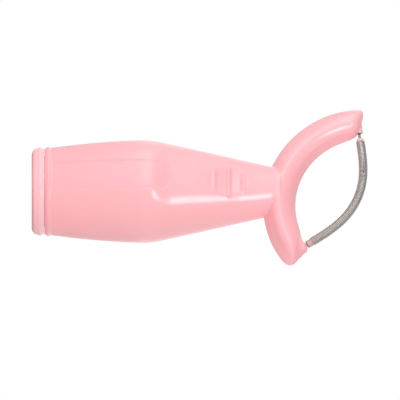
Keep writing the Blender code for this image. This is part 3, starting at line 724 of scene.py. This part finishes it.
def bow_line():
    """Middle line of the bowed spring, its slope falling off as a cosine along it."""
    half = chord.length / 2
    slope = math.acos(min(1.0, (-upper_way).dot(chord.normalized())))
    share = (np.arange(BOW_STEPS) + 0.5) / BOW_STEPS
    turn = slope * np.cos(math.pi * share)
    along = np.concatenate([[0], np.cumsum(np.cos(turn))])
    rise = np.concatenate([[0], np.cumsum(np.sin(turn))])
    scale = 2 * half / along[-1]
    length = BOW_STEPS * scale
    ahead = chord.normalized()
    above = Vector((math.sin(HEAD_SKEW), 0, math.cos(HEAD_SKEW)))
    points = [upper_end + ahead * (a * scale) + above * (r * scale) for a, r in zip(along, rise)]
    return points, length


def winding_tree(material):
    """Node tree that winds a wire round the line it is given."""
    tree = bpy.data.node_groups.new("spring_winding", "GeometryNodeTree")
    face = tree.interface
    face.new_socket("Line", in_out="INPUT", socket_type="NodeSocketGeometry")
    sizes = (("Turns", "Float"), ("Points", "Int"), ("Coil Radius", "Float"), ("Wire Radius", "Float"))
    for name, kind in sizes:
        face.new_socket(name, in_out="INPUT", socket_type="NodeSocket" + kind)
    face.new_socket("Spring", in_out="OUTPUT", socket_type="NodeSocketGeometry")
    given = add_node(tree, "NodeGroupInput")
    line = add_node(tree, "GeometryNodeMeshToCurve", [(given.outputs["Line"], "Mesh")])
    even = add_node(tree, "GeometryNodeResampleCurve", [
        (line.outputs["Curve"], "Curve"), (given.outputs["Points"], "Count")])
    upright = add_node(tree, "GeometryNodeSetCurveNormal", [(even.outputs["Curve"], "Curve")], mode="Z_UP")
    place = add_node(tree, "GeometryNodeSplineParameter")
    turns = add_node(tree, "ShaderNodeMath", [
        (place.outputs["Factor"], 0), (given.outputs["Turns"], 1)], operation="MULTIPLY")
    angle = add_node(tree, "ShaderNodeMath", [(turns.outputs[0], 0)], operation="MULTIPLY")
    angle.inputs[1].default_value = 2 * math.pi
    normal = add_node(tree, "GeometryNodeInputNormal")
    tangent = add_node(tree, "GeometryNodeInputTangent")
    side = add_node(tree, "ShaderNodeVectorMath", [
        (tangent.outputs[0], 0), (normal.outputs[0], 1)], operation="CROSS_PRODUCT")
    swings = []
    for wave, axis in (("COSINE", normal), ("SINE", side)):
        swing = add_node(tree, "ShaderNodeMath", [(angle.outputs[0], 0)], operation=wave)
        reach = add_node(tree, "ShaderNodeMath", [
            (swing.outputs[0], 0), (given.outputs["Coil Radius"], 1)], operation="MULTIPLY")
        swings.append(add_node(tree, "ShaderNodeVectorMath", [
            (axis.outputs[0], 0), (reach.outputs[0], "Scale")], operation="SCALE"))
    offset = add_node(tree, "ShaderNodeVectorMath", [
        (swings[0].outputs[0], 0), (swings[1].outputs[0], 1)], operation="ADD")
    wound = add_node(tree, "GeometryNodeSetPosition", [
        (upright.outputs["Curve"], "Geometry"), (offset.outputs[0], "Offset")])
    wire = add_node(tree, "GeometryNodeCurvePrimitiveCircle", [(given.outputs["Wire Radius"], "Radius")])
    wire.inputs["Resolution"].default_value = WIRE_SIDES
    tube = add_node(tree, "GeometryNodeCurveToMesh", [
        (wound.outputs["Geometry"], "Curve"), (wire.outputs["Curve"], "Profile Curve")])
    tube.inputs["Fill Caps"].default_value = True
    real = add_node(tree, "GeometryNodeRealizeInstances", [(tube.outputs["Mesh"], "Geometry")])
    coated = add_node(tree, "GeometryNodeSetMaterial", [(real.outputs["Geometry"], "Geometry")])
    coated.inputs["Material"].default_value = material
    add_node(tree, "NodeGroupOutput", [(coated.outputs["Geometry"], "Spring")])
    return tree


def run_tree(item, tree, **values):
    """Give the object the tree, set its named inputs and work the result into its mesh."""
    modifier = item.modifiers.new(tree.name, "NODES")
    modifier.node_group = tree
    for socket in tree.interface.items_tree:
        if socket.in_out == "INPUT" and socket.name.replace(" ", "_").lower() in values:
            modifier[socket.identifier] = values[socket.name.replace(" ", "_").lower()]
    return applied(item)


points, bow_length = bow_line()
line_mesh = bpy.data.meshes.new("bow_line")
line_mesh.from_pydata(points, [(index, index + 1) for index in range(len(points) - 1)], [])
coil = new_object("wound_coil_spring", line_mesh)
spring_steel = drawn_steel("drawn_spring_steel", SPRING_GREY, SPRING_ROUGHNESS, SPRING_PATCH)
curls = bow_length / COIL_PITCH
run_tree(coil, winding_tree(spring_steel), turns=curls, points=int(curls * CURL_STEPS),
         coil_radius=COIL_RADIUS, wire_radius=WIRE_RADIUS)
coil.data.shade_smooth()
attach(coil, "handle")
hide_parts("coil_spring")

# Stage
# A white table in a bright room, which is lighter near the horizon than overhead. A broad key lamp
# fills from the front left, and a small edge lamp on the right draws the gloss along the crease.
VIEW_TURN = math.radians(21)
PHOTO_SCALE = 0.3824 * MM
PHOTO_PIXELS = 400
LAMP_DISTANCE = 0.8
HORIZON_LEVEL = 1.22
ZENITH_LEVEL = 0.3
CENTRE_UP_HANDLE = 64.34 * MM
CENTRE_ACROSS = 3.25 * MM
CAMERA_DISTANCE = 0.6
LAMP_AIM_HEIGHT = 0.065
FLOOR_HALF_SIZE = 1.5
FLOOR_DROP = 0.5 * MM

camera_data = bpy.data.cameras.new("camera")
camera_data.type = "ORTHO"
camera_data.ortho_scale = PHOTO_SCALE * PHOTO_PIXELS
camera_data.clip_start = 0.01
camera_data.clip_end = 10.0
camera = new_object("camera", camera_data)
back = Vector((math.sin(VIEW_TURN), -math.cos(VIEW_TURN), 0))
across = Vector((math.cos(VIEW_TURN), math.sin(VIEW_TURN), 0))
camera.location = across * CENTRE_ACROSS + back * CAMERA_DISTANCE + Vector((0, 0, CENTRE_UP_HANDLE))
right, up = Vector((0, 0, 1)), -across
camera.matrix_world = camera.matrix_world.__class__((
    (right.x, up.x, back.x, camera.location.x),
    (right.y, up.y, back.y, camera.location.y),
    (right.z, up.z, back.z, camera.location.z),
    (0, 0, 0, 1)))
bpy.context.scene.camera = camera

floor_mesh = bmesh.new()
bmesh.ops.create_grid(floor_mesh, x_segments=1, y_segments=1, size=FLOOR_HALF_SIZE)
floor = mesh_from("floor", floor_mesh)
floor_material = bpy.data.materials.new("white_table")
floor_material.use_nodes = True
floor_shader = floor_material.node_tree.nodes["Principled BSDF"]
floor_shader.inputs["Base Color"].default_value = to_linear("#FAFAFA")
floor_shader.inputs["Roughness"].default_value = 0.8
floor.data.materials.append(floor_material)
floor.location = (0, 0, -FLOOR_DROP)

world = bpy.data.worlds.new("white_room")
bpy.context.scene.world = world
world.use_nodes = True
sky = world.node_tree.nodes["Background"]
sky.inputs["Color"].default_value = (1, 1, 1, 1)
rays = add_node(world.node_tree, "ShaderNodeLightPath")
way = add_node(world.node_tree, "ShaderNodeTexCoord")
parts = add_node(world.node_tree, "ShaderNodeSeparateXYZ", [(way.outputs["Generated"], "Vector")])
fall = add_node(world.node_tree, "ShaderNodeMapRange", [(parts.outputs["Z"], "Value")])
fall.inputs["To Min"].default_value = HORIZON_LEVEL
fall.inputs["To Max"].default_value = ZENITH_LEVEL
shown = add_node(world.node_tree, "ShaderNodeMath", [
    (rays.outputs["Is Camera Ray"], 0), (rays.outputs["Is Transmission Ray"], 1)], operation="MAXIMUM")
strength = add_node(world.node_tree, "ShaderNodeMix", [
    (shown.outputs[0], "Factor"), (fall.outputs["Result"], "A")], data_type="FLOAT")
strength.inputs["B"].default_value = 1.0
world.node_tree.links.new(strength.outputs["Result"], sky.inputs["Strength"])


def add_lamp(name, azimuth, elevation, width, height, power):
    """Soft oblong lamp that faces the middle of the object, placed by its angles in degrees."""
    lamp = bpy.data.lights.new(name, "AREA")
    lamp.shape = "RECTANGLE"
    lamp.size, lamp.size_y = width, height
    lamp.energy = power
    item = new_object(name, lamp)
    turn, lift = math.radians(azimuth), math.radians(elevation)
    way = Vector((math.sin(turn) * math.cos(lift), -math.cos(turn) * math.cos(lift), math.sin(lift)))
    item.location = Vector((0, 0, LAMP_AIM_HEIGHT)) + way * LAMP_DISTANCE
    item.rotation_euler = way.to_track_quat("Z", "Y").to_euler()


add_lamp("key_lamp", -40, -20, 1.6, 1.2, 10.0)
add_lamp("edge_lamp", 26, 25, 0.24, 0.13, 1.2)

bpy.context.scene.view_settings.view_transform = "Standard"
